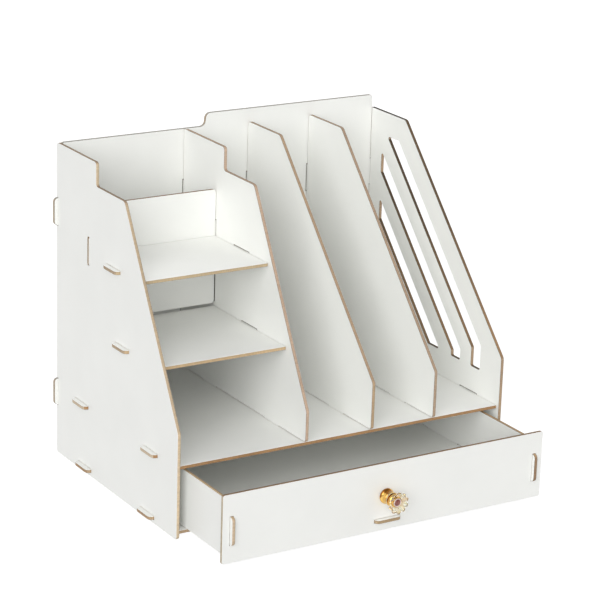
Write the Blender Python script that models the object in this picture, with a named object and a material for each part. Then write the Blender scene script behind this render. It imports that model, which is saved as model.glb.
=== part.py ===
"""Desk organizer of slotted fibreboard: cells and file bays over one wide drawer.

Twelve flat boards make the cabinet and five make the drawer. Tabs on one board pass through
slots in the next and stand a little proud of it, so the boards hold one another square. The
knob is a turned gold foot whose stem carries a collar, a bead and a crystal flower.

Lengths are in metres, +Z is up and the drawer opens toward -Y. The origin is on the desk,
under the middle of the whole, with the drawer drawn out by drawer_open.
"""
import math

import bmesh
import bpy
from mathutils import Vector

# Boards and their joints
board = 0.003               # thickness of every board
fit_gap = 0.0003            # clearance between pieces that touch
tab_width = 0.025
tab_proud = 0.0045          # how far a tab stands out of the cabinet's boards
back_tab_proud = 0.0035     # the same for the back's own tabs
pen_tab_proud = 0.0002      # the same for the pen box's wall, almost flush
drawer_tab_proud = 0.0035   # the same for the drawer
tab_round = 0.0045          # radius of a tab's outer corners, at most half its reach
corner_round = 0.003        # radius of a board's free corners

# Cabinet
cabinet_width = 0.328
cabinet_depth = 0.226
side_height = 0.288
back_rise = 0.012           # step up in the back's top edge
back_rise_at = 0.1465       # from the left side's outer face to the middle of that step
back_rise_round = 0.0052    # radius of both its corners
left_front_height = 0.094   # front edge of the left side, up to its slant
left_shoulder_run = 0.128   # rear edge to the top of the slant
left_step_run = 0.076       # rear edge to the step near the top
left_step_rise = 0.021
right_front_height = 0.109
right_top_run = 0.059
slant_round = 0.005         # where a slant meets a straight run
divider_front = 0.0018      # the sides' front edges to a divider's
divider_drop = 0.002        # a divider's kink below that of its side
foot_round = 0.0025         # a divider's lower front corner

# Slanted cut-outs of the right side
window_count = 3
window_front = 0.0318       # front edge to the first cut-out's upright run
window_margin = 0.022       # slanted edge to the first cut-out, square to the slant
window_pitch = 0.031
window_width = 0.0137
window_sill = 0.0882
window_rim = 0.022          # board left above and behind the cut-outs
window_round = 0.0015

# Heights inside
bottom_lift = 0.0036        # desk to the bottom board
bay_height = 0.0546         # drawer's bay
lower_cell_height = 0.0724
middle_cell_height = 0.062

# Column of cells, file bays and pen box
column_width = 0.1216
file_bay_shares = (0.330, 0.321, 0.349)
upper_shelf_setback = 0.0084   # slanted edge to the shelf's front edge
middle_shelf_setback = 0.012
pen_box_depth = 0.0575
pen_wall_lift = 0.0024      # middle shelf's top to the wall's lower edge
pen_wall_drop = 0.041       # side's top to the wall's upper edge
pen_floor_lift = 0.023      # wall's lower edge to the floor's underside

# Where the tabs are, as shares of the edge that carries them
base_tab_shares = (0.200, 0.786)
bottom_tab_shares = (0.222, 0.758)
rear_tab_shares = (0.25, 0.75)
back_tab_shares = (0.203, 0.785)
divider_foot_shares = (0.25, 0.75)
divider_rear_shares = (0.205, 0.732)
pen_wall_tab_share = 0.611
pen_floor_tab_shares = (0.27, 0.73)
middle_share = 0.5
drawer_floor_tab_shares = (0.45, 0.80)

# Drawer
drawer_open = 0.0684        # how far it is drawn out
drawer_side_gap = 0.0017    # front's end to the side board
front_lift = 0.004          # desk to the front's lower edge
front_round = 0.0018        # radius of the front's corners
wall_inset = 0.0069         # front's end to the side wall
back_overhang = 0.0036      # back wall's ends past the side walls
drawer_headroom = 0.0038    # walls' top to the ceiling of the bay
drawer_floor_lift = 0.0048  # walls' lower edge to the floor's underside
drawer_back_gap = 0.0015    # tips of the rear tabs to the cabinet's back

# Knob, measured out from the drawer's front
knob_shift = -0.002         # from the middle of the front
knob_rise = 0.0007          # the same, upward
knob_foot_radius = 0.0068
knob_waist_radius = 0.0040
knob_base_length = 0.0077
stem_radius = 0.0020
stem_bite = 0.0009          # how far the stem enters the crystal
collar_radius = 0.0048
collar_length = 0.0022
collar_flutes = 16
flute_depth = 0.0005
bead_radius = 0.00545
bead_length = 0.0036
crystal_radius = 0.00975
crystal_length = 0.0056
petal_count = 10
petal_depth = 0.0015
gem_seat_depth = 0.0039     # petal tips to the bottom of the gem's seat
ring_radius = 0.0045
ring_wall = 0.0016
ring_length = 0.0015
gem_length = 0.0018
gem_sides = 8
bell_shares = ((0.0, 1.0), (0.14, 1.0), (0.30, 0.86), (0.50, 0.44), (0.72, 0.12), (0.90, 0.0),
               (1.0, 0.0))
bead_turns = 8
petal_shares = ((0.0, 0.50), (0.20, 0.82), (0.45, 0.97), (0.66, 1.0), (0.88, 0.93), (1.0, 0.82),
                (0.94, 0.72), (0.70, 0.60), (0.42, 0.54))
gem_shares = ((0.0, 0.86), (0.60, 1.0), (0.88, 0.66), (1.0, 0.36))

# Screw that holds the knob
screw_radius = 0.0015
screw_head_radius = 0.0036
screw_head_length = 0.0020
screw_bite = 0.0052         # how far it enters the knob
washer_radius = 0.0045
washer_thickness = 0.0008
head_shares = ((0.0, 1.0), (0.45, 1.0), (0.85, 0.74), (1.0, 0.40))

# Fineness of round forms
arc_step = math.radians(25)
turned_sides = 32
fine_sides = 80
hole_sides = 20

# Places that follow from the sizes
half_width = cabinet_width / 2
side_inner = half_width - board
shoulder_x = side_inner - fit_gap
back_y = cabinet_depth - board
rear_edge = back_y - fit_gap
front_edge = board + fit_gap
inner_depth = rear_edge - front_edge

bay_floor = bottom_lift + board
base_z = bay_floor + bay_height
base_top = base_z + board
middle_z = base_top + lower_cell_height
upper_z = middle_z + board + middle_cell_height

column_left = column_width - side_inner            # column divider's left face
file_space = side_inner - column_left - 3 * board
file_left = column_left + board + file_space * file_bay_shares[0]
file_right = file_left + board + file_space * file_bay_shares[1]
divider_z = base_top + fit_gap
divider_height = side_height - divider_z

pen_wall_y = back_y - pen_box_depth - board
pen_wall_z = middle_z + board + pen_wall_lift
pen_wall_top = side_height - pen_wall_drop
pen_floor_z = pen_wall_z + pen_floor_lift
column_start = fit_gap - side_inner
column_end = column_left - fit_gap

front_end = side_inner - drawer_side_gap
wall_outer = front_end - wall_inset
drawer_back_y = back_y - drawer_back_gap - drawer_tab_proud - board
wall_z = bay_floor + fit_gap
wall_top = base_z - drawer_headroom
drawer_floor_z = wall_z + drawer_floor_lift

knob_z = (front_lift + base_top) / 2 + knob_rise
base_end = fit_gap + knob_base_length
collar_start = base_end + fit_gap
bead_start = collar_start + collar_length + fit_gap
crystal_start = bead_start + bead_length + fit_gap
crystal_end = crystal_start + crystal_length
gem_seat = crystal_end - gem_seat_depth
whole_front = -drawer_open - crystal_end
whole_middle = (whole_front + cabinet_depth + tab_proud) / 2

# Colours
white_face = (0.86, 0.86, 0.83)
bare_edge = (0.50, 0.31, 0.17)
gold = (0.83, 0.53, 0.17)
steel = (0.62, 0.62, 0.63)


def principled(name, colour, roughness, metallic=0.0, transmission=0.0):
    """Make one Principled material."""
    material = bpy.data.materials.new(name)
    material.use_nodes = True
    shader = material.node_tree.nodes["Principled BSDF"]
    shader.inputs["Base Color"].default_value = (*colour, 1.0)
    shader.inputs["Roughness"].default_value = roughness
    shader.inputs["Metallic"].default_value = metallic
    shader.inputs["Transmission Weight"].default_value = transmission
    material.diffuse_color = (*colour, 1.0)
    return material


def add_object(name, bm, parent, location, materials):
    """Turn a bmesh into a named object under its parent."""
    bmesh.ops.recalc_face_normals(bm, faces=bm.faces)
    mesh = bpy.data.meshes.new(name)
    bm.to_mesh(mesh)
    bm.free()
    for material in materials:
        mesh.materials.append(material)
    made = bpy.data.objects.new(name, mesh)
    bpy.context.scene.collection.objects.link(made)
    made.parent = parent
    made.location = location
    return made


def add_empty(name, parent, location):
    """Make an empty that carries other objects."""
    made = bpy.data.objects.new(name, None)
    bpy.context.scene.collection.objects.link(made)
    made.parent = parent
    made.location = location
    return made


# Outlines

def rounded(corners):
    """Draw an outline from corners (u, v, radius); a radius of zero stays sharp."""
    points = []
    for before, here, after in zip(corners[-1:] + corners[:-1], corners, corners[1:] + corners[:1]):
        corner = Vector(here[:2])
        arriving = corner - Vector(before[:2])
        leaving = Vector(after[:2]) - corner
        turn = math.atan2(arriving.x * leaving.y - arriving.y * leaving.x, arriving.dot(leaving))
        room = min(arriving.length, leaving.length) / 2
        cut = min(here[2] * math.tan(abs(turn) / 2), room)
        if cut == 0:
            points.append(corner)
            continue
        start = corner - arriving.normalized() * cut
        inward = Vector((-arriving.y, arriving.x)).normalized() * math.copysign(1, turn)
        centre = start + inward * cut / math.tan(abs(turn) / 2)
        steps = max(2, math.ceil(abs(turn) / arc_step))
        for step in range(steps + 1):
            angle = turn * step / steps
            arm = start - centre
            swung = Vector((arm.x * math.cos(angle) - arm.y * math.sin(angle),
                            arm.x * math.sin(angle) + arm.y * math.cos(angle)))
            points.append(centre + swung)
    return points


def tabs(axis, edge, centres, reach, walk):
    """Corners of the tabs on a straight edge that runs along an axis, in the walk's direction."""
    corners = []
    for centre in sorted(centres, reverse=walk < 0):
        near = centre - walk * tab_width / 2
        far = centre + walk * tab_width / 2
        steps = ((near, edge, 0), (near, edge + reach, tab_round),
                 (far, edge + reach, tab_round), (far, edge, 0))
        corners += [(along, across, radius) if axis == "u" else (across, along, radius)
                    for along, across, radius in steps]
    return corners


def rectangle(u0, u1, v0, v1, radius, reach, below=(), right=(), above=(), left=()):
    """Corners of a rectangular board with tabs, whose centres are given for each side."""
    return ([(u0, v0, radius)] + tabs("u", v0, below, -reach, 1)
            + [(u1, v0, radius)] + tabs("v", u1, right, reach, 1)
            + [(u1, v1, radius)] + tabs("u", v1, above, reach, -1)
            + [(u0, v1, radius)] + tabs("v", u0, left, -reach, -1))


def slot(u, v, axis):
    """A slot for a tab whose width runs along an axis."""
    along = tab_width / 2 + fit_gap
    across = board / 2 + fit_gap
    half_u, half_v = (along, across) if axis == "u" else (across, along)
    return [Vector((u - half_u, v - half_v)), Vector((u + half_u, v - half_v)),
            Vector((u + half_u, v + half_v)), Vector((u - half_u, v + half_v))]


def round_hole(u, v, radius):
    """A round hole."""
    angles = [2 * math.pi * side / hole_sides for side in range(hole_sides)]
    return [Vector((u + radius * math.cos(a), v + radius * math.sin(a))) for a in angles]


def spread(start, end, shares):
    """Places along an edge at the given shares of its length."""
    return [start + (end - start) * share for share in shares]


# Boards

def add_board(name, normal, level, corners, holes, parent):
    """Cut a flat board from its outline and holes; level is where its lower face lies."""
    place = {"x": lambda u, v: (0, u, v), "y": lambda u, v: (u, 0, v), "z": lambda u, v: (u, v, 0)}
    across = Vector([axis == normal for axis in "xyz"])
    bm = bmesh.new()
    edges = []
    for loop in [rounded(corners)] + holes:
        verts = [bm.verts.new(place[normal](*point)) for point in loop]
        edges += [bm.edges.new(pair) for pair in zip(verts, verts[1:] + verts[:1])]
    filled = bmesh.ops.triangle_fill(bm, use_beauty=True, edges=edges)["geom"]
    faces = [item for item in filled if isinstance(item, bmesh.types.BMFace)]
    raised = bmesh.ops.extrude_face_region(bm, geom=faces)["geom"]
    verts = [item for item in raised if isinstance(item, bmesh.types.BMVert)]
    bmesh.ops.translate(bm, verts=verts, vec=across * board)
    bm.normal_update()
    for face in bm.faces:
        face.material_index = int(abs(face.normal.dot(across)) < middle_share)
    finishes = [principled(name + "_laminate", white_face, 0.32),
                principled(name + "_cut_edge", bare_edge, 0.75)]
    return add_object(name, bm, parent, across * level, finishes)


def left_slant_at(z):
    """How far behind the sides' front edges the left side's slant is at a height."""
    run = cabinet_depth - left_shoulder_run
    rise = side_height - left_step_rise - left_front_height
    return (z - left_front_height) * run / rise


def right_slant_at(y):
    """Height of the right side's slant at a depth."""
    slope = (side_height - right_front_height) / (cabinet_depth - right_top_run)
    return right_front_height + slope * y


def rear_notches():
    """Open notches in a side's rear edge, where the back's tabs pass, going up."""
    corners = []
    for centre in spread(0, side_height, back_tab_shares):
        low = centre - tab_width / 2 - fit_gap
        high = centre + tab_width / 2 + fit_gap
        corners += [(cabinet_depth, low, 0), (rear_edge, low, 0),
                    (rear_edge, high, 0), (cabinet_depth, high, 0)]
    return corners


def side_slots():
    """Slots that both sides have: for the base shelf and the bottom board."""
    base = [slot(y, base_z + board / 2, "u") for y in spread(front_edge, rear_edge, base_tab_shares)]
    bottom = [slot(y, bottom_lift + board / 2, "u")
              for y in spread(front_edge, rear_edge, bottom_tab_shares)]
    return base + bottom


def column_slots():
    """Slots for the column's shelves and pen wall, in the left side and the column divider."""
    return [slot((shelf_front(upper_z, upper_shelf_setback) + pen_wall_y) / 2,
                 upper_z + board / 2, "u"),
            slot((shelf_front(middle_z, middle_shelf_setback) + pen_wall_y) / 2,
                 middle_z + board / 2, "u"),
            slot(pen_wall_y + board / 2, *spread(pen_wall_z, pen_wall_top, [pen_wall_tab_share]),
                 "v")]


def shelf_front(z, setback):
    """Front edge of a shelf in the column."""
    return left_slant_at(z + board) + setback


def left_top(front, kink, z):
    """Corners of the left profile's front and top, from the rear down to a front edge."""
    shoulder_z = side_height - left_step_rise
    return [(cabinet_depth - left_step_run, side_height, corner_round),
            (cabinet_depth - left_step_run, shoulder_z, corner_round),
            (cabinet_depth - left_shoulder_run, shoulder_z, slant_round),
            (front, kink, slant_round), (front, z, corner_round)]


def add_left_side(parent):
    corners = ([(cabinet_depth, 0, corner_round)] + rear_notches()
               + [(cabinet_depth, side_height, corner_round)] + left_top(0, left_front_height, 0))
    add_board("left_side_panel", "x", -half_width, corners, side_slots() + column_slots(), parent)


def clipped(points, axis, limit, keep):
    """Cut a polygon at a limit on one axis, keeping what lies above it (1) or below it (-1)."""
    kept = []
    for here, after in zip(points, points[1:] + points[:1]):
        if keep * here[axis] >= keep * limit:
            kept.append(here)
        if (here[axis] - limit) * (after[axis] - limit) < 0:
            kept.append(here.lerp(after, (limit - here[axis]) / (after[axis] - here[axis])))
    return kept


def window(index):
    """One cut-out of the right side: a band along both runs of the front edge, cut to its rim."""
    rise = (side_height - right_front_height) / (cabinet_depth - right_top_run)
    slant = math.hypot(1, rise)
    front = window_front + index * window_pitch
    rear = front + window_width
    front_drop = (window_margin + index * window_pitch) * slant
    rear_drop = front_drop + window_width * slant
    far = cabinet_depth
    band = [Vector((front, 0)), Vector((rear, 0)),
            Vector((rear, right_slant_at(rear) - rear_drop)),
            Vector((far, right_slant_at(far) - rear_drop)),
            Vector((far, right_slant_at(far) - front_drop)),
            Vector((front, right_slant_at(front) - front_drop))]
    band = clipped(band, 1, window_sill, 1)
    band = clipped(band, 1, side_height - window_rim, -1)
    band = clipped(band, 0, cabinet_depth - window_rim, -1)
    apart = [here for here, after in zip(band, band[1:] + band[:1])
             if (after - here).length > window_round]
    return rounded([(point.x, point.y, window_round) for point in apart])


def add_right_side(parent):
    corners = ([(cabinet_depth, 0, corner_round)] + rear_notches()
               + [(cabinet_depth, side_height, corner_round),
                  (cabinet_depth - right_top_run, side_height, slant_round),
                  (0, right_front_height, slant_round), (0, 0, corner_round)])
    windows = [window(index) for index in range(window_count)]
    add_board("right_side_panel", "x", side_inner, corners, side_slots() + windows, parent)


def add_back(parent):
    """Back board between the sides, with an S-shaped step in its top edge."""
    heights = spread(0, side_height, back_tab_shares)
    reach = fit_gap + board + back_tab_proud
    step_x = back_rise_at - half_width
    top = side_height + back_rise
    corners = ([(-shoulder_x, 0, 0), (shoulder_x, 0, 0)] + tabs("v", shoulder_x, heights, reach, 1)
               + [(shoulder_x, top, corner_round), (step_x, top, back_rise_round),
                  (step_x, side_height, back_rise_round), (-shoulder_x, side_height, corner_round)]
               + tabs("v", -shoulder_x, heights, -reach, -1))
    holes = [slot(x, base_z + board / 2, "u")
             for x in spread(-shoulder_x, shoulder_x, rear_tab_shares)]
    holes += [slot(x, bottom_lift + board / 2, "u")
              for x in spread(-shoulder_x, shoulder_x, rear_tab_shares)]
    holes += [slot(x, pen_floor_z + board / 2, "u")
              for x in spread(column_start, column_end, pen_floor_tab_shares)]
    for left_face in (column_left, file_left, file_right):
        holes += [slot(left_face + board / 2, z, "v")
                  for z in spread(divider_z, side_height, divider_rear_shares)]
    add_board("back_panel", "y", back_y, corners, holes, parent)


def add_floor(name, z, side_shares, holes, parent):
    """One of the two full-width level boards, with tabs at its sides and rear."""
    ys = spread(front_edge, rear_edge, side_shares)
    xs = spread(-shoulder_x, shoulder_x, rear_tab_shares)
    reach = fit_gap + board + tab_proud
    corners = rectangle(-shoulder_x, shoulder_x, front_edge, rear_edge, 0, reach,
                        right=ys, above=xs, left=ys)
    add_board(name, "z", z, corners, holes, parent)


def divider_slots():
    """Slots in the base shelf for the dividers' feet."""
    return [slot(left_face + board / 2, y, "v")
            for left_face in (column_left, file_left, file_right)
            for y in spread(front_edge, rear_edge, divider_foot_shares)]


def divider_edges():
    """Foot and rear edges of a divider, with their tabs, from its lower front corner up."""
    feet = spread(front_edge, rear_edge, divider_foot_shares)
    heights = spread(divider_z, side_height, divider_rear_shares)
    return (tabs("u", divider_z, feet, -fit_gap - board, 1) + [(rear_edge, divider_z, 0)]
            + tabs("v", rear_edge, heights, fit_gap + board + tab_proud, 1)
            + [(rear_edge, side_height, corner_round)])


def add_column_divider(parent):
    """Right wall of the column, with the left side's profile."""
    front = left_top(divider_front, left_front_height - divider_drop, divider_z)
    front[-1] = (divider_front, divider_z, foot_round)
    middle_y = (pen_wall_y + board + fit_gap + rear_edge) / 2
    holes = column_slots() + [slot(middle_y, pen_floor_z + board / 2, "u")]
    add_board("column_divider", "x", column_left, divider_edges() + front, holes, parent)


def add_file_divider(name, left_face, parent):
    """Divider between two file bays, with the right side's profile."""
    corners = divider_edges() + [(cabinet_depth - right_top_run, side_height, slant_round),
                                 (divider_front, right_front_height - divider_drop, slant_round),
                                 (divider_front, divider_z, foot_round)]
    add_board(name, "x", left_face, corners, [], parent)


def add_shelf(name, z, setback, parent):
    """Shelf in the column, from behind the slant to the pen box's wall."""
    front = shelf_front(z, setback)
    middle = [(front + pen_wall_y) / 2]
    corners = rectangle(column_start, column_end, front, pen_wall_y - fit_gap, 0,
                        fit_gap + board + tab_proud, right=middle, left=middle)
    add_board(name, "z", z, corners, [], parent)


def add_pen_box(parent):
    """Front wall and floor of the pen box behind the column's cells."""
    height = spread(pen_wall_z, pen_wall_top, [pen_wall_tab_share])
    wall = rectangle(column_start, column_end, pen_wall_z, pen_wall_top, corner_round,
                     fit_gap + board + pen_tab_proud, right=height, left=height)
    add_board("pen_box_front", "y", pen_wall_y, wall, [], parent)
    floor_front = pen_wall_y + board + fit_gap
    reach = fit_gap + board + tab_proud
    floor = rectangle(column_start, column_end, floor_front, rear_edge, 0, reach,
                      right=[(floor_front + rear_edge) / 2],
                      above=spread(column_start, column_end, pen_floor_tab_shares))
    add_board("pen_box_floor", "z", pen_floor_z, floor, [], parent)


# Drawer, drawn as closed; its empty draws it out

def wall_middle():
    """Height of the tabs at both ends of the drawer's side walls."""
    return spread(wall_z, wall_top, [middle_share])


def add_drawer_front(parent):
    corners = rectangle(-front_end, front_end, front_lift, base_top, front_round, 0)
    wall_x = wall_outer - board / 2
    holes = [slot(-wall_x, *wall_middle(), "v"), slot(wall_x, *wall_middle(), "v"),
             slot(0, drawer_floor_z + board / 2, "u"),
             round_hole(knob_shift, knob_z, screw_radius + fit_gap)]
    add_board("drawer_front", "y", 0, corners, holes, parent)


def add_drawer_walls(parent):
    """Both side walls and the back wall."""
    reach = fit_gap + board + drawer_tab_proud
    wall = rectangle(front_edge, drawer_back_y - fit_gap, wall_z, wall_top, 0, reach,
                     right=wall_middle(), left=wall_middle())
    holes = [slot(y, drawer_floor_z + board / 2, "u")
             for y in spread(front_edge, drawer_back_y, drawer_floor_tab_shares)]
    add_board("drawer_left_side", "x", -wall_outer, wall, holes, parent)
    add_board("drawer_right_side", "x", wall_outer - board, wall, holes, parent)
    back_end = wall_outer + back_overhang
    back = rectangle(-back_end, back_end, wall_z, wall_top, 0, 0)
    wall_x = wall_outer - board / 2
    holes = [slot(-wall_x, *wall_middle(), "v"), slot(wall_x, *wall_middle(), "v"),
             slot(0, drawer_floor_z + board / 2, "u")]
    add_board("drawer_back", "y", drawer_back_y, back, holes, parent)


def add_drawer_floor(parent):
    inner = wall_outer - board - fit_gap
    reach = fit_gap + board + drawer_tab_proud
    ys = spread(front_edge, drawer_back_y, drawer_floor_tab_shares)
    corners = rectangle(-inner, inner, front_edge, drawer_back_y - fit_gap, 0, reach,
                        below=[0], right=ys, above=[0], left=ys)
    add_board("drawer_bottom", "z", drawer_floor_z, corners, [], parent)


# Knob and its screw, turned about an axis that points out of the drawer's front

def add_turned(name, profile, sides, material, parent, lobes=None):
    """Turn a profile of (distance out, radius) points; lobes are (count, depth, from, to)."""
    bm = bmesh.new()
    rings = []
    for out, radius in profile:
        if radius == 0:
            rings.append([bm.verts.new((0, -out, 0))])
            continue
        ring = []
        for side in range(sides):
            angle = 2 * math.pi * side / sides
            reach = radius
            if lobes:
                count, depth, inner, outer = lobes
                valley = 1 - abs(math.sin(count * angle / 2))
                reach -= depth * valley * max(0, radius - inner) / (outer - inner)
            ring.append(bm.verts.new((reach * math.cos(angle), -out, reach * math.sin(angle))))
        rings.append(ring)
    for one, two in zip(rings, rings[1:] + rings[:1]):
        for side in range(sides):
            corners = [one[side % len(one)], one[(side + 1) % len(one)],
                       two[(side + 1) % len(two)], two[side % len(two)]]
            corners = list(dict.fromkeys(corners))
            if len(corners) > 2:
                bm.faces.new(corners)
    made = add_object(name, bm, parent, (knob_shift, 0, knob_z), [material])
    made.data.shade_smooth()
    made.data.set_sharp_from_angle(angle=math.radians(35))
    return made


def add_knob_base(parent):
    """Bell-shaped foot and waist, a blind bore for the screw, and the stem."""
    bore = screw_radius + fit_gap
    bore_end = screw_bite + fit_gap
    flare = knob_foot_radius - knob_waist_radius
    bell = [(fit_gap + knob_base_length * out, knob_waist_radius + flare * share)
            for out, share in bell_shares]
    stem_end = crystal_start + stem_bite
    profile = ([(bore_end, 0), (bore_end, bore), (fit_gap, bore)] + bell
               + [(base_end, stem_radius), (stem_end, stem_radius), (stem_end, 0)])
    add_turned("knob_base", profile, turned_sides, principled("knob_base_gold", gold, 0.2, 1.0),
               parent)


def add_knob_rings(parent):
    """Pale fluted collar and gold bead, both threaded on the stem."""
    bore = stem_radius + fit_gap
    collar_end = collar_start + collar_length
    collar = [(collar_start, bore), (collar_start, collar_radius), (collar_end, collar_radius),
              (collar_end, bore)]
    pale = principled("knob_collar_pearl", (0.86, 0.76, 0.55), 0.25, 0.3)
    add_turned("knob_collar", collar, fine_sides, pale, parent,
               (collar_flutes, flute_depth, bore, collar_radius))
    half = bead_length / 2
    angles = [math.pi * turn / bead_turns for turn in range(bead_turns + 1)]
    bead = [(bead_start, bore)]
    bead += [(bead_start + half - half * math.cos(a), bead_radius - half + half * math.sin(a))
             for a in angles]
    bead += [(bead_start + bead_length, bore)]
    add_turned("knob_bead", bead, turned_sides, principled("knob_bead_gold", gold, 0.2, 1.0),
               parent)


def add_crystal(parent):
    """Clear flower of cupped petals, with a socket for the stem and a seat for the gem."""
    socket = stem_radius + fit_gap
    socket_end = crystal_start + stem_bite + fit_gap
    seat = ring_radius + fit_gap
    petals = [(crystal_start + crystal_length * out, crystal_radius * share)
              for out, share in petal_shares]
    cup = petals[-1][0]
    profile = ([(socket_end, 0), (socket_end, socket), (crystal_start, socket)] + petals
               + [(cup, seat), (gem_seat, seat), (gem_seat, 0)])
    clear = principled("knob_crystal_clear", (0.95, 0.95, 0.93), 0.02, 0.0, 0.9)
    add_turned("knob_crystal", profile, fine_sides, clear, parent,
               (petal_count, petal_depth, seat, crystal_radius))


def add_gem(parent):
    """Rose stone in a pale ring, on the crystal's seat."""
    start = gem_seat + fit_gap
    end = start + ring_length
    inner = ring_radius - ring_wall
    middle = (ring_radius + inner) / 2
    ring = [(start, inner), (start, ring_radius), (end - ring_wall / 2, ring_radius),
            (end, middle), (end - ring_wall / 2, inner)]
    add_turned("knob_gem_ring", ring, turned_sides,
               principled("knob_gem_ring_pink", (0.80, 0.58, 0.55), 0.25), parent)
    widest = inner - fit_gap
    stone = [(start + gem_length * out, widest * share) for out, share in gem_shares]
    profile = [(start, 0)] + stone + [(start + gem_length, 0)]
    add_turned("knob_gem", profile, gem_sides,
               principled("knob_gem_rose", (0.30, 0.06, 0.05), 0.1), parent)


def add_screw(parent):
    """Pan-head screw from inside the drawer, and its washer."""
    washer_start = -board - fit_gap
    washer_end = washer_start - washer_thickness
    bore = screw_radius + fit_gap
    washer = [(washer_start, bore), (washer_start, washer_radius), (washer_end, washer_radius),
              (washer_end, bore)]
    add_turned("knob_washer", washer, turned_sides, principled("knob_washer_steel", steel, 0.3, 1.0),
               parent)
    head_start = washer_end - fit_gap
    head = [(head_start - screw_head_length * out, screw_head_radius * share)
            for out, share in head_shares]
    profile = ([(screw_bite, 0), (screw_bite, screw_radius), (head_start, screw_radius)] + head
               + [(head_start - screw_head_length, 0)])
    add_turned("knob_screw", profile, turned_sides, principled("knob_screw_steel", steel, 0.3, 1.0),
               parent)


def build():
    """Make the whole organizer."""
    for old in list(bpy.data.objects):
        bpy.data.objects.remove(old, do_unlink=True)
    cabinet = add_empty("cabinet_frame", None, (0, -whole_middle, 0))
    add_left_side(cabinet)
    add_right_side(cabinet)
    add_back(cabinet)
    add_floor("bottom_panel", bottom_lift, bottom_tab_shares, [], cabinet)
    add_floor("base_shelf", base_z, base_tab_shares, divider_slots(), cabinet)
    add_column_divider(cabinet)
    add_file_divider("file_divider_left", file_left, cabinet)
    add_file_divider("file_divider_right", file_right, cabinet)
    add_shelf("upper_shelf", upper_z, upper_shelf_setback, cabinet)
    add_shelf("middle_shelf", middle_z, middle_shelf_setback, cabinet)
    add_pen_box(cabinet)
    drawer = add_empty("drawer_frame", cabinet, (0, -drawer_open, 0))
    add_drawer_front(drawer)
    add_drawer_walls(drawer)
    add_drawer_floor(drawer)
    add_knob_base(drawer)
    add_knob_rings(drawer)
    add_crystal(drawer)
    add_gem(drawer)
    add_screw(drawer)
    bpy.context.view_layer.update()


build()
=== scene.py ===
"""Looks of the desk organizer: white boards with bare cut edges, and a gold and crystal knob.

Lengths are in metres in the row frame, where +Z is up and the drawer opens toward -Y. The knob's
forms are drawn in millimetres out from the drawer's front.
"""
import math

import bmesh
import bpy
from mathutils import Matrix, Vector


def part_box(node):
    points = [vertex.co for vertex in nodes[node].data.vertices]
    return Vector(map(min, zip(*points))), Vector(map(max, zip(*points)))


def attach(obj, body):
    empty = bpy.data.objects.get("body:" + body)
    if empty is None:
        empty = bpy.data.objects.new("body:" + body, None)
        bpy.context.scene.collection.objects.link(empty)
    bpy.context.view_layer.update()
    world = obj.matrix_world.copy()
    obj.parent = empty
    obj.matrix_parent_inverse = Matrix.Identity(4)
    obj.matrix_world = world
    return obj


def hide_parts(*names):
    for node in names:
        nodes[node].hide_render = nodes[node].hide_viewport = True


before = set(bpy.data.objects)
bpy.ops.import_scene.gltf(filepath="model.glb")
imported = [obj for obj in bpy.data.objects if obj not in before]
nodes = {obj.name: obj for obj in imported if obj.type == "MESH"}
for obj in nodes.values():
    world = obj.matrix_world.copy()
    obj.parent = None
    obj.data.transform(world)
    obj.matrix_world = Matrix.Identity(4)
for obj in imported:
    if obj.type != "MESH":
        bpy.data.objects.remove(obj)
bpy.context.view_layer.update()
scene = bpy.context.scene

# Camera, worked out from the board corners in the photograph
camera_place = Vector((-1.0649, -1.70355, 0.8178))
camera_turn = Vector((1.8394946908, -0.4936777595, 0.4008520212))   # world to camera, Y down
focal_pixels = 2436.6
frame_pixels = 600
sensor_width = 36.0

# Light
sky = 0.46
suns = {                                 # direction to the light and its strength
    "sun_left_front": ((-0.75, -0.65, 0.60), 1.12),
    "sun_left_low": ((-0.60, -0.80, 0.15), 1.02),
    "sun_right": ((0.80, -0.30, 0.40), 0.44),
    "sun_back_top": ((0.20, 0.75, 0.60), 0.62),
}
sun_width = math.radians(50)
pure_white = (1, 1, 1, 1)
floor_colour = (0.30, 0.30, 0.30, 1)
floor_glow = 0.86
floor_roughness = 0.9
floor_radius = 9.0
floor_sides = 96
floor_drop = 0.0002                      # from the boards' feet down to the floor

# Boards
edge_bevel = 0.0002
bevel_angle = math.radians(40)           # edges that turn by more are broken
flat_angle = math.radians(1)             # faces that turn by less are joined
weld_distance = 0.00001
laminate = (0.93, 0.935, 0.905, 1)
laminate_shade = (0.91, 0.915, 0.885, 1)
board_relief = 0.00006

# Which way a surface of a board faces, told by one part of its normal
face_from = 0.95                         # across the board: its white faces
broken_from = 0.3                        # across the board: its broken edges as well
sideways_from = 0.8                      # along X: the ends that face sideways

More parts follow.
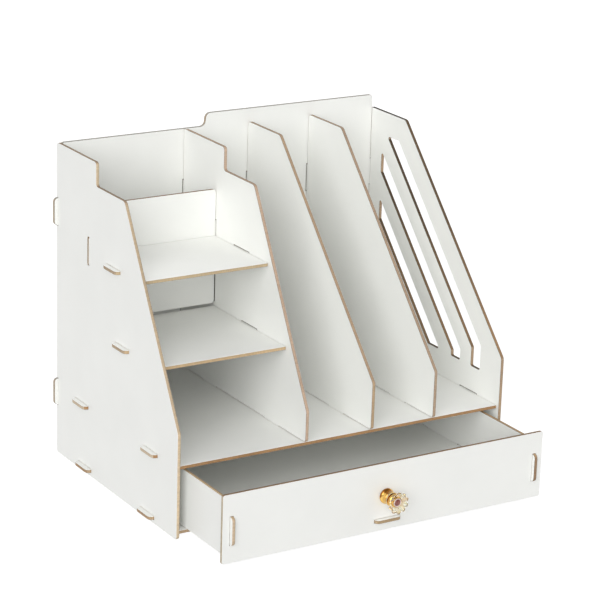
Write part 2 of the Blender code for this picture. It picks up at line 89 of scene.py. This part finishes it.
# Cut edges: colours of those that face the front, sideways and up, and on which side they are burnt
edge_looks = {
    "left_side_panel": ((0.700, 0.551, 0.366), (0.525, 0.399, 0.273), (0.260, 0.175, 0.112), 1),
    "right_side_panel": ((0.473, 0.333, 0.213), (0.520, 0.395, 0.270), (0.252, 0.155, 0.078), -1),
    "back_panel": ((0.449, 0.337, 0.224), (0.469, 0.357, 0.245), (0.430, 0.420, 0.380), -1),
    "bottom_panel": ((0.483, 0.336, 0.200), (0.437, 0.286, 0.166), (0.354, 0.229, 0.135), -1),
    "base_shelf": ((0.444, 0.253, 0.116), (0.616, 0.495, 0.352), (0.354, 0.229, 0.135), -1),
    "column_divider": ((0.628, 0.458, 0.335), (0.525, 0.399, 0.273), (0.404, 0.284, 0.191), -1),
    "file_divider_left": ((0.545, 0.389, 0.242), (0.520, 0.395, 0.270), (0.372, 0.265, 0.178), -1),
    "file_divider_right": ((0.490, 0.359, 0.253), (0.520, 0.395, 0.270), (0.372, 0.265, 0.178), -1),
    "upper_shelf": ((0.608, 0.464, 0.280), (0.478, 0.359, 0.239), (0.374, 0.260, 0.166), -1),
    "middle_shelf": ((0.624, 0.447, 0.252), (0.478, 0.359, 0.239), (0.374, 0.260, 0.166), -1),
    "pen_box_front": ((0.478, 0.343, 0.229), (0.416, 0.302, 0.198), (0.208, 0.109, 0.044), 1),
    "pen_box_floor": ((0.478, 0.343, 0.229), (0.478, 0.359, 0.239), (0.354, 0.250, 0.166), -1),
    "drawer_front": ((0.504, 0.389, 0.263), (0.556, 0.460, 0.332), (0.237, 0.133, 0.059), 1),
    "drawer_left_side": ((0.663, 0.503, 0.342), (0.478, 0.354, 0.218), (0.520, 0.374, 0.218), 1),
    "drawer_right_side": ((0.335, 0.216, 0.124), (0.478, 0.354, 0.218), (0.478, 0.322, 0.177), -1),
    "drawer_back": ((0.478, 0.354, 0.218), (0.478, 0.354, 0.218), (0.499, 0.354, 0.208), -1),
    "drawer_bottom": ((0.441, 0.310, 0.173), (0.478, 0.354, 0.218), (0.416, 0.291, 0.177), -1),
}
plain_tilt = (0.20, 1.05)                # how steeply up an edge faces, up to its last colour
right_tilt = (0.20, 0.60)                # the same on the right side
burnt_tone = 0.5

# Slanted edges of the right side: darker toward the top, and again in the cut-outs
slant_heights = (0.12, 0.21)
slant_tones = (1.33, 0.46)
sill_tilt = (0.85, 0.95)                 # how steeply up the sills of the cut-outs face
sill_tone = 0.40
slant_slope = 0.933                      # how far back these edges go as they rise
cut_out_limit = -0.160                   # y less this slope times z, ahead of the first cut-out
outer_tone = 1.05
cut_out_tone = 0.70

# Slots, placed as in the boards themselves, and their dark outlines on the burnt side: scorch and
# painted shade of the gaps
slot_half = 0.0128                       # half of a slot's length
slot_gap = 0.0003                        # board to the slot's edge, or to a board that it meets
base_tab_shares = (0.200, 0.786)
pen_wall_tab_share = 0.611
divider_rear_shares = (0.205, 0.732)
seam_clear = 0.002                       # from the pen box's seam to the ends of its painted shade line
scorch_and_gap_shade = (0.05, 0.042, 0.032, 1)
scorch_and_shade_reach = 0.0007
scorch_and_shade_solid = 0.6 * scorch_and_shade_reach

# Knob
mm = 0.001
knob_low, knob_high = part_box("knob_base")
knob_axis = Vector(((knob_low.x + knob_high.x) / 2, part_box("drawer_front")[0].y,
                    (knob_low.z + knob_high.z) / 2))
turned_sides = 96
petal_sides = 40
ring_sides = 120
washer_sides = 64
screw_sides = 48
cut_sides = 8
stem_clear = 2.3                         # radius inside the collar, bead and cup
stone_count = 24
stone_circle = 5.7                       # from the knob's axis to the collar's stones
stone_out = 9.4
gem_out = 16.75
petal_lobes = (10, 2.1, 4.5, 9.75)       # count, depth, radius where they begin, of their tips
ring_lobes = (20, 0.10, 2.87, 3.77)
recess_bar = (3.6, 3.2, 0.75)            # length, depth and width of both bars of the recess
recess_back = 7.0                        # from the drawer's front back to the bars' middle
recess_taper = 0.45                      # what is left of a bar's size at its inner end

# The knob's materials: colour, worn colour and painted dark reflection of the metals, tints of the
# clear ones
gold_colours = ((0.88, 0.58, 0.18), (0.80, 0.46, 0.11), (0.34, 0.13, 0.02))
steel_colours = ((0.62, 0.62, 0.63), (0.50, 0.50, 0.51))
pearl_tints = ((0.98, 0.92, 0.66), (0.92, 0.76, 0.42))
# the crystal's yellow and peach tints are painted reflections of the gold
crystal_tints = ((1.0, 1.0, 0.97), (0.99, 0.92, 0.58), (0.96, 0.78, 0.56))
pink_tints = ((0.92, 0.82, 0.79), (0.84, 0.66, 0.64))
rose_tints = ((0.42, 0.12, 0.07), (0.24, 0.05, 0.04))
reflection_patch_shift = (5.2, 0.6, 3.4)          # moves the patches of painted reflection: the last colour or tint
turning_relief = 0.000006
clear_relief = 0.00002

usual = (0.3, 0.7)                       # where most of a noise's numbers lie


def add_mesh(name, bm, place):
    """Turn a bmesh into an object."""
    bmesh.ops.recalc_face_normals(bm, faces=bm.faces)
    mesh = bpy.data.meshes.new(name)
    bm.to_mesh(mesh)
    bm.free()
    made = bpy.data.objects.new(name, mesh)
    scene.collection.objects.link(made)
    made.location = place
    return made


# Stage

def add_camera():
    """The photograph's camera."""
    data = bpy.data.cameras.new("camera")
    data.sensor_width = sensor_width
    data.lens = focal_pixels / frame_pixels * sensor_width
    camera = bpy.data.objects.new("camera", data)
    scene.collection.objects.link(camera)
    to_camera = Matrix.Rotation(camera_turn.length, 3, camera_turn.normalized())
    right, down, ahead = to_camera[0], to_camera[1], to_camera[2]
    turned_back = Matrix((right, -down, -ahead)).transposed().to_4x4()
    camera.matrix_world = Matrix.Translation(camera_place) @ turned_back
    scene.camera = camera


def add_sun(name, toward, strength):
    """A wide, soft distant light."""
    data = bpy.data.lights.new(name, "SUN")
    data.energy = strength
    data.angle = sun_width
    light = bpy.data.objects.new(name, data)
    scene.collection.objects.link(light)
    light.rotation_mode = "QUATERNION"
    light.rotation_quaternion = Vector(toward).to_track_quat("Z", "Y")


def add_floor():
    """A glowing white floor, which sends no light up onto the boards."""
    bm = bmesh.new()
    bmesh.ops.create_circle(bm, cap_ends=True, radius=floor_radius, segments=floor_sides)
    floor = add_mesh("floor", bm, Vector((0, 0, -floor_drop)))
    graph = Graph("floor")
    graph.set("Base Color", floor_colour)
    graph.set("Roughness", floor_roughness)
    graph.set("Specular IOR Level", 0.0)
    graph.set("Emission Color", pure_white)
    graph.set("Emission Strength", floor_glow)
    floor.data.materials.append(graph.material)
    floor.visible_diffuse = False


def add_studio():
    """Pale sky, soft lights and the floor."""
    world = bpy.data.worlds.new("studio")
    world.use_nodes = True
    background = world.node_tree.nodes["Background"]
    background.inputs["Color"].default_value = pure_white
    background.inputs["Strength"].default_value = sky
    scene.world = world
    scene.view_settings.view_transform = "Standard"
    for name, (toward, strength) in suns.items():
        add_sun(name, toward, strength)
    add_floor()


# Materials

class Graph:
    """A material's nodes, with short calls that add and link them."""

    def __init__(self, name):
        self.material = bpy.data.materials.new(name)
        self.material.use_nodes = True
        self.tree = self.material.node_tree
        self.shader = self.tree.nodes["Principled BSDF"]
        self.coordinates = None

    def put(self, socket, value):
        """Link a socket to another, or set its value."""
        if isinstance(value, bpy.types.NodeSocket):
            self.tree.links.new(value, socket)
        else:
            socket.default_value = value

    def set(self, name, value):
        """Link or set a socket of the shader."""
        self.put(self.shader.inputs[name], value)

    def add(self, kind, inputs, **settings):
        """Add a node, with values or links for its inputs by number or name."""
        made = self.tree.nodes.new("ShaderNode" + kind)
        for key, value in settings.items():
            setattr(made, key, value)
        for key, value in inputs.items():
            self.put(made.inputs[key], value)
        return made

    def math(self, operation, *values):
        """A calculation on numbers."""
        return self.add("Math", dict(enumerate(values)), operation=operation).outputs[0]

    def product(self, *values):
        """Numbers multiplied with one another."""
        result = values[0]
        for value in values[1:]:
            result = self.math("MULTIPLY", result, value)
        return result

    def apart(self, value, middle):
        """How far a number is from a middle one."""
        return self.math("ABSOLUTE", self.math("SUBTRACT", value, middle))

    def spread(self, value, low, high, to_low, to_high):
        """Map a range of numbers to another, held at its ends."""
        inputs = {0: value, 1: low, 2: high, 3: to_low, 4: to_high}
        return self.add("MapRange", inputs).outputs[0]

    def blend(self, factor, one, two):
        """A blend of two numbers."""
        return self.add("Mix", {0: factor, 2: one, 3: two}, data_type="FLOAT").outputs[0]

    def mix(self, factor, one, two):
        """A blend of two colours."""
        return self.add("Mix", {0: factor, 6: one, 7: two}, data_type="RGBA").outputs[2]

    def shade(self, colour, factor):
        """A colour made lighter or darker."""
        inputs = {0: colour, "Scale": factor}
        return self.add("VectorMath", inputs, operation="SCALE").outputs[0]

    def place(self, scale=(1, 1, 1), shift=(0, 0, 0)):
        """Where a point lies on its piece, in metres, stretched and shifted along each axis."""
        if self.coordinates is None:
            self.coordinates = self.add("TexCoord", {}).outputs["Object"]
        inputs = {"Vector": self.coordinates, "Scale": scale, "Location": shift}
        return self.add("Mapping", inputs).outputs[0]

    def noise(self, scale, detail, stretch=(1, 1, 1), roughness=0.5, shift=(0, 0, 0)):
        """Smooth random numbers around a half; scale is in waves to the metre."""
        inputs = {"Vector": self.place(stretch, shift), "Scale": scale, "Detail": detail,
                  "Roughness": roughness}
        return self.add("TexNoise", inputs).outputs["Fac"]

    def bump(self, height, distance):
        """Relief on the surface."""
        made = self.add("Bump", {"Height": height, "Distance": distance, "Strength": 1.0})
        self.set("Normal", made.outputs[0])


def laminate_look(graph):
    """Barely mottled white with a fine orange peel: its colour, roughness and relief."""
    clouds = graph.noise(22, 3)
    colour = graph.mix(graph.spread(clouds, 0.35, 0.65, 0, 1), laminate_shade, laminate)
    satin = graph.spread(graph.noise(260, 2), *usual, 0.34, 0.42)
    peel = graph.product(graph.noise(900, 2), 0.02)
    ripple = graph.product(graph.noise(45, 1), 0.25)
    return colour, satin, graph.math("ADD", peel, ripple)


def fibreboard_look(graph, share, thin, burnt):
    """Stripes across the cut, fine fibres, soft patches, darker lines at both faces and a painted
    shade
    from the low face to the high one: the tone of the colour, the roughness and the relief; share
    tells where a point lies between the faces."""
    long_way = [1, 1, 1]
    long_way[thin] = 0.04
    stripes = graph.noise(850, 3, long_way, 0.65)
    fibres = graph.noise(2600, 4, roughness=0.7)
    patches = graph.noise(28, 2)
    rim = graph.spread(graph.apart(share, 0.5), 0.34, 0.5, 1.0, 0.66)
    # painted shade: the cut is lighter at the board's low face and darker at its high face
    painted_side_shade = graph.spread(share, 0, 1, 1.10, 0.88)
    tone = graph.product(graph.spread(stripes, *usual, 0.86, 1.10),
                         graph.spread(fibres, *usual, 0.90, 1.08),
                         graph.spread(patches, *usual, 0.90, 1.08),
                         rim, painted_side_shade, graph.spread(burnt, 0, 1, 1.0, burnt_tone))
    dull = graph.spread(stripes, *usual, 0.72, 0.9)
    relief = graph.math("ADD", graph.product(stripes, 1.2), graph.product(fibres, 0.8))
    return tone, dull, relief


def slant_tone(graph, normal, places, upward):
    """Tone of the right side's slanted edges."""
    height = graph.spread(places.outputs[2], *slant_heights, *slant_tones)
    sill = graph.spread(normal.outputs[2], *sill_tilt, 1, sill_tone)
    slanted_back = graph.math("SUBTRACT", places.outputs[1],
                              graph.product(places.outputs[2], slant_slope))
    inside = graph.math("GREATER_THAN", slanted_back, cut_out_limit)
    cut_out = graph.spread(inside, 0, 1, outer_tone, cut_out_tone)
    return graph.blend(upward, 1.0, graph.product(height, sill, cut_out))


def slot_outlines(graph, places, thin, marks):
    """Where the dark outlines of a board's slots run, scorch and painted shade of the gaps, each as
    (middle, half length) along two axes.
    """
    along = [axis for axis in range(3) if axis != thin]
    outlines = []
    for mark in marks:
        beyond = [graph.math("SUBTRACT", graph.apart(places.outputs[axis], middle), half)
                  for axis, (middle, half) in zip(along, mark)]
        nearest = graph.math("MAXIMUM", *beyond)
        outlines.append(graph.spread(nearest, scorch_and_shade_solid, scorch_and_shade_reach, 1, 0))
    marked = outlines[0]
    for outline in outlines[1:]:
        marked = graph.math("MAXIMUM", marked, outline)
    return marked


def board_material(name, thin, low, high, look, marks):
    """White laminate on both faces and bare fibreboard at the cut edges of one board."""
    front_colour, end_colour, upper_colour, burnt_side = look
    right = name.startswith("right")
    graph = Graph(name)
    normal = graph.add("SeparateXYZ", {0: graph.add("NewGeometry", {}).outputs["True Normal"]})
    places = graph.add("SeparateXYZ", {0: graph.place()})
    across = normal.outputs[thin]
    face = graph.math("GREATER_THAN", graph.math("ABSOLUTE", across), face_from)
    toward_burnt = graph.product(across, float(burnt_side))
    burnt = graph.math("GREATER_THAN", toward_burnt, broken_from)
    coated = graph.math("MAXIMUM", face, graph.math("LESS_THAN", toward_burnt, -broken_from))

    white, satin, smooth = laminate_look(graph)
    # dark outlines round the slots on the burnt side: scorch and painted shade of the gaps
    if marks:
        outlines = slot_outlines(graph, places, thin, marks)
        white = graph.mix(graph.product(outlines, burnt), white, scorch_and_gap_shade)

    share = graph.spread(places.outputs[thin], low, high, 0, 1)
    tone, dull, coarse = fibreboard_look(graph, share, thin, burnt)
    upward = graph.spread(normal.outputs[2], *(right_tilt if right else plain_tilt), 0, 1)
    if right:
        tone = graph.product(tone, slant_tone(graph, normal, places, upward))
    sideways = graph.math("GREATER_THAN", graph.math("ABSOLUTE", normal.outputs[0]), sideways_from)
    fibre = graph.mix(sideways, (*front_colour, 1), (*end_colour, 1))
    fibre = graph.mix(upward, fibre, (*upper_colour, 1))

    graph.set("Base Color", graph.mix(coated, graph.shade(fibre, tone), white))
    graph.set("Roughness", graph.blend(coated, dull, satin))
    graph.bump(graph.blend(coated, coarse, smooth), board_relief)
    return graph.material


def metal(name, colours, roughness):
    """Polished plating with turning marks and duller patches, and patches of painted dark
    reflection as a third colour.
    """
    graph = Graph(name)
    graph.set("Metallic", 1.0)
    patches = graph.noise(420, 3)
    plating = graph.mix(graph.spread(patches, 0.35, 0.7, 0, 1), (*colours[0], 1), (*colours[1], 1))
    if len(colours) > 2:
        # painted dark reflections: patches of the gold's third colour
        reflection_spots = graph.noise(150, 1, shift=reflection_patch_shift)
        plating = graph.mix(graph.spread(reflection_spots, 0.52, 0.57, 0, 1), plating, (*colours[2], 1))
    graph.set("Base Color", plating)
    graph.set("Roughness", graph.spread(patches, *usual, roughness, roughness + 0.1))
    graph.bump(graph.noise(5200, 2, (0.08, 1, 0.08)), turning_relief)
    return graph.material


def clear(name, colours, roughness, transmission, index):
    """Cut glass or gloss resin in two or three tints, with slight waves and specks; on the crystal
    the second and third tints are painted reflections of the gold.
    """
    graph = Graph(name)
    graph.set("Transmission Weight", transmission)
    graph.set("IOR", index)
    veins = graph.noise(380, 2)
    # on the crystal the second tint is a painted yellow reflection of the gold
    tint = graph.mix(graph.spread(veins, 0.38, 0.62, 0, 1), (*colours[0], 1), (*colours[1], 1))
    if len(colours) > 2:
        # on the crystal the third tint is a painted peach reflection of the gold, in patches
        reflection_spots = graph.noise(240, 1, shift=reflection_patch_shift)
        tint = graph.mix(graph.spread(reflection_spots, 0.50, 0.56, 0, 1), tint, (*colours[2], 1))
    graph.set("Base Color", tint)
    specks = graph.noise(1500, 2)
    graph.set("Roughness", graph.spread(specks, 0.35, 0.7, roughness, roughness + 0.05))
    graph.bump(veins, clear_relief)
    return graph.material


# Boards

def slot_marks():
    """Slots that show a dark outline of scorch and painted gap shade, as (middle, half length)
    along both axes of their board.
    """
    def whole(name, axis):
        """The thickness of a board that passes through."""
        low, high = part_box(name)
        return ((low[axis] + high[axis]) / 2, (high[axis] - low[axis]) / 2 + slot_gap)

    def part(low, high, share):
        """The width of a tab on an edge."""
        return (low + (high - low) * share, slot_half)

    shelf_low, shelf_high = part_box("base_shelf")
    shelf_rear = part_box("back_panel")[0].y - slot_gap
    base = [(part(shelf_low.y, shelf_rear, share), whole("base_shelf", 2))
            for share in base_tab_shares]
    column = [((whole(name, 1)[0], slot_half), whole(name, 2))
              for name in ("upper_shelf", "middle_shelf")]
    wall = whole("pen_box_front", 1)
    wall_low, wall_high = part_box("pen_box_front")
    column.append((wall, part(wall_low.z, wall_high.z, pen_wall_tab_share)))
    # painted shade line along the gap between the pen box's wall and the column divider
    seam_middle = (wall_low.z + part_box("upper_shelf")[0].z) / 2
    column.append((wall, (seam_middle, seam_middle - wall_low.z - seam_clear)))
    rear = [(whole(name, 0), part(shelf_high.z + slot_gap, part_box(name)[1].z, share))
            for name in ("column_divider", "file_divider_left", "file_divider_right")
            for share in divider_rear_shares]
    return {"right_side_panel": base, "column_divider": column, "back_panel": rear}


def dress_board(name, node, marks):
    """Finish one of the model's boards: clean faces, a fine broken edge and its material."""
    low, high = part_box(name)
    spans = [high[axis] - low[axis] for axis in range(3)]
    thin = spans.index(min(spans))
    weld = node.modifiers.new("weld", "WELD")
    weld.merge_threshold = weld_distance
    flat = node.modifiers.new("flat", "DECIMATE")
    flat.decimate_type = "DISSOLVE"
    flat.angle_limit = flat_angle
    bevel = node.modifiers.new("bevel", "BEVEL")
    bevel.width = edge_bevel
    bevel.segments = 1
    bevel.limit_method = "ANGLE"
    bevel.angle_limit = bevel_angle
    bevel.loop_slide = False
    node.data.materials.clear()
    node.data.materials.append(board_material(name + "_board", thin, low[thin], high[thin],
                                              edge_looks[name], marks))


# Knob

def curve(points, steps):
    """A smooth run through profile points."""
    run = []
    ends = [points[0]] + list(points) + [points[-1]]
    for a, b, c, d in zip(ends, ends[1:], ends[2:], ends[3:]):
        for step in range(steps):
            t = step / steps
            run.append(tuple(0.5 * (2 * q + (r - p) * t + (2 * p - 5 * q + 4 * r - s) * t * t
                                    + (3 * q - p - 3 * r + s) * t ** 3)
                             for p, q, r, s in zip(a, b, c, d)))
    return run + [tuple(points[-1])]


def arc(out, radius, along, across, turn, steps):
    """Part of an ellipse round a profile point, from its near side outward, through an angle."""
    angles = [turn * step / steps for step in range(steps + 1)]
    return [(out - along * math.cos(angle), radius + across * math.sin(angle)) for angle in angles]


def lathe(profile, sides, lobes=None):
    """Turn a closed profile of (distance out, radius) points about the knob's axis; lobes are
    (count, depth, radius where they begin, radius of their tips)."""
    bm = bmesh.new()
    rings = []
    for out, radius in profile:
        if radius == 0:
            rings.append([bm.verts.new((0, -out * mm, 0))])
            continue
        ring = []
        for side in range(sides):
            angle = 2 * math.pi * side / sides
            reach = radius
            if lobes:
                count, depth, inner, outer = lobes
                valley = 1 - abs(math.sin(count * angle / 2))
                reach -= depth * valley * max(0, radius - inner) / (outer - inner)
            ring.append(bm.verts.new((reach * mm * math.cos(angle), -out * mm,
                                      reach * mm * math.sin(angle))))
        rings.append(ring)
    for one, two in zip(rings, rings[1:] + rings[:1]):
        for side in range(sides):
            corners = [one[side % len(one)], one[(side + 1) % len(one)],
                       two[(side + 1) % len(two)], two[side % len(two)]]
            corners = list(dict.fromkeys(corners))
            if len(corners) > 2:
                bm.faces.new(corners)
    return bm


def cut_stone(bm, place, outward, levels):
    """A cut stone of (height, radius) levels, each turned by half a side to the one below."""
    first = outward.orthogonal().normalized()
    second = outward.cross(first)
    rings = []
    for level, (height, radius) in enumerate(levels):
        ring = []
        for side in range(cut_sides):
            angle = 2 * math.pi * (side + level % 2 / 2) / cut_sides
            arm = first * math.cos(angle) + second * math.sin(angle)
            ring.append(bm.verts.new((place + outward * height + arm * radius) * mm))
        rings.append(ring)
    for level, (one, two) in enumerate(zip(rings, rings[1:])):
        for side in range(cut_sides):
            after = (side + 1) % cut_sides
            if level % 2 == 0:
                bm.faces.new((one[side], one[after], two[side]))
                bm.faces.new((two[side], one[after], two[after]))
            else:
                bm.faces.new((one[side], one[after], two[after]))
                bm.faces.new((two[side], one[side], two[after]))
    bm.faces.new(rings[0])
    bm.faces.new(rings[-1])


def add_piece(name, bm, material, stands_for, smooth=None):
    """Put a piece of the knob on the drawer; smooth is the angle up to which it is shaded so."""
    made = add_mesh(name, bm, knob_axis)
    if smooth:
        made.data.shade_smooth()
        made.data.set_sharp_from_angle(angle=math.radians(smooth))
    made.data.materials.append(material)
    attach(made, "drawer")
    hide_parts(stands_for)
    return made


def add_foot(gold):
    """Foot, waist and the stem that carries the rest."""
    foot = [(5.5, 0), (5.5, 1.8), (0.3, 1.8), (0.3, 6.4)]
    foot += arc(0.6, 6.5, 0.3, 0.3, math.pi / 2, 4) + [(1.2, 6.8)]
    foot += curve([(1.38, 6.8), (1.8, 6.7), (2.3, 6.35), (2.9, 5.9), (3.6, 5.55), (4.5, 5.35),
                   (5.6, 5.3), (6.6, 5.45), (7.4, 5.75), (7.8, 6.0)], 3)
    foot += [(8.0, 5.8), (8.0, 2.0), (15.45, 2.0), (15.6, 1.85), (15.6, 0)]
    add_piece("knob_foot", lathe(foot, turned_sides), gold, "knob_base", smooth=30)


def add_collar(gold):
    """Setting of the collar and its stones."""
    setting = [(8.3, stem_clear), (8.3, 5.7)] + arc(8.5, 5.75, 0.2, 0.2, math.pi / 2, 3)
    setting += [(8.65, 5.95), (8.75, 5.8), (8.75, 5.25), (10.05, 5.25), (10.05, 5.8),
                (10.15, 5.95), (10.3, 5.95), (10.43, 5.88), (10.5, 5.7), (10.5, stem_clear)]
    add_piece("knob_collar_setting", lathe(setting, turned_sides), gold, "knob_collar",
              smooth=30)

    stone = ((-0.55, 0.12), (0.0, 0.68), (0.12, 0.70), (0.38, 0.52), (0.52, 0.30))
    stones = bmesh.new()
    for index in range(stone_count):
        angle = 2 * math.pi * (index + 0.5) / stone_count
        outward = Vector((math.cos(angle), 0, math.sin(angle)))
        cut_stone(stones, outward * stone_circle + Vector((0, -stone_out, 0)), outward, stone)
    pearl = clear("knob_collar_stones", pearl_tints, 0.04, 0.40, 1.55)
    add_piece("knob_collar_stones", stones, pearl, "knob_collar")


def add_crystal(gold):
    """Bead, cup, crystal flower, pink ring and rose stone."""
    bead = [(10.8, stem_clear)] + arc(12.6, 4.1, 1.8, 1.8, math.pi, 24) + [(14.4, stem_clear)]
    add_piece("knob_gold_bead", lathe(bead, turned_sides), gold, "knob_bead", smooth=30)

    cup = [(14.5, stem_clear), (14.5, 4.2), (14.6, 4.35), (15.3, 4.4), (16.6, 4.4), (17.15, 4.3),
           (17.25, 4.15), (17.2, 4.0), (16.9, 3.9), (16.45, 3.9), (16.45, 0), (15.9, 0),
           (15.9, stem_clear)]
    add_piece("knob_gold_cup", lathe(cup, turned_sides), gold, "knob_crystal", smooth=30)

    petals = [(15.0, 4.5), (15.5, 6.0), (16.4, 7.6), (17.5, 8.9), (18.7, 9.75), (19.9, 9.6),
              (20.25, 9.0), (19.3, 8.4), (18.2, 7.3), (17.3, 6.1), (16.6, 4.5)]
    crystal = clear("knob_crystal_clear", crystal_tints, 0.02, 0.90, 1.42)
    add_piece("knob_crystal_flower", lathe(petals, petal_sides, petal_lobes), crystal,
              "knob_crystal")

    ring = arc(17.3, 3.32, 0.55, 0.45, 2 * math.pi, 12)[:-1]
    pink = clear("knob_ring_pink", pink_tints, 0.16, 0.0, 1.5)
    add_piece("knob_pink_ring", lathe(ring, ring_sides, ring_lobes), pink,
              "knob_gem_ring", smooth=60)

    gem = bmesh.new()
    levels = ((0.0, 2.4), (0.45, 2.7), (0.80, 2.78), (0.95, 2.78), (1.30, 2.05), (1.6, 1.2))
    cut_stone(gem, Vector((0, -gem_out, 0)), Vector((0, -1, 0)), levels)
    rose = clear("knob_stone_rose", rose_tints, 0.05, 0.15, 1.7)
    add_piece("knob_rose_stone", gem, rose, "knob_gem")


def cross_cutter():
    """Two crossed bars that narrow toward the screw's shaft."""
    bm = bmesh.new()
    for turn in (0, math.pi / 2):
        bar = bmesh.ops.create_cube(bm, size=1.0)["verts"]
        bmesh.ops.scale(bm, verts=bar, vec=Vector(recess_bar) * mm)
        bmesh.ops.translate(bm, verts=bar, vec=Vector((0, recess_back, 0)) * mm)
        bmesh.ops.rotate(bm, verts=bar, cent=(0, 0, 0), matrix=Matrix.Rotation(turn, 3, "Y"))
        for vert in bar:
            if vert.co.y < recess_back * mm:
                vert.co.x *= recess_taper
                vert.co.z *= recess_taper
    return add_mesh("cross_cutter", bm, knob_axis)


def add_screw():
    """Pan-head screw with a cross recess, and its washer, behind the drawer's front."""
    steel = metal("knob_screw_steel", steel_colours, 0.24)
    washer = [(-3.3, 1.8), (-3.3, 4.35), (-3.36, 4.46), (-3.5, 4.5), (-3.9, 4.5), (-4.04, 4.46),
              (-4.1, 4.35), (-4.1, 1.8)]
    add_piece("knob_round_washer", lathe(washer, washer_sides), steel, "knob_washer",
              smooth=50)

    shaft = [(5.2, 0), (5.2, 1.2), (4.8, 1.5), (-4.4, 1.5)]
    head = curve([(-4.4, 3.6), (-4.9, 3.62), (-5.4, 3.5), (-5.9, 3.0), (-6.25, 2.2),
                  (-6.38, 1.2)], 4)
    outline = shaft + head + [(-6.4, 0)]
    screw = add_piece("knob_pan_screw", lathe(outline, screw_sides), steel, "knob_screw",
                      smooth=40)
    cutter = cross_cutter()
    recess = screw.modifiers.new("recess", "BOOLEAN")
    recess.operation = "DIFFERENCE"
    recess.solver = "EXACT"
    recess.use_self = True
    recess.object = cutter
    bpy.context.view_layer.update()
    cut_screw = screw.evaluated_get(bpy.context.evaluated_depsgraph_get())
    finished = bpy.data.meshes.new_from_object(cut_screw)
    screw.modifiers.clear()
    screw.data = finished
    bpy.data.objects.remove(cutter, do_unlink=True)


add_camera()
add_studio()
outlined = slot_marks()
for name, node in nodes.items():
    if name in edge_looks:
        dress_board(name, node, outlined.get(name, []))
gold = metal("knob_gold", gold_colours, 0.12)
add_foot(gold)
add_collar(gold)
add_crystal(gold)
add_screw()
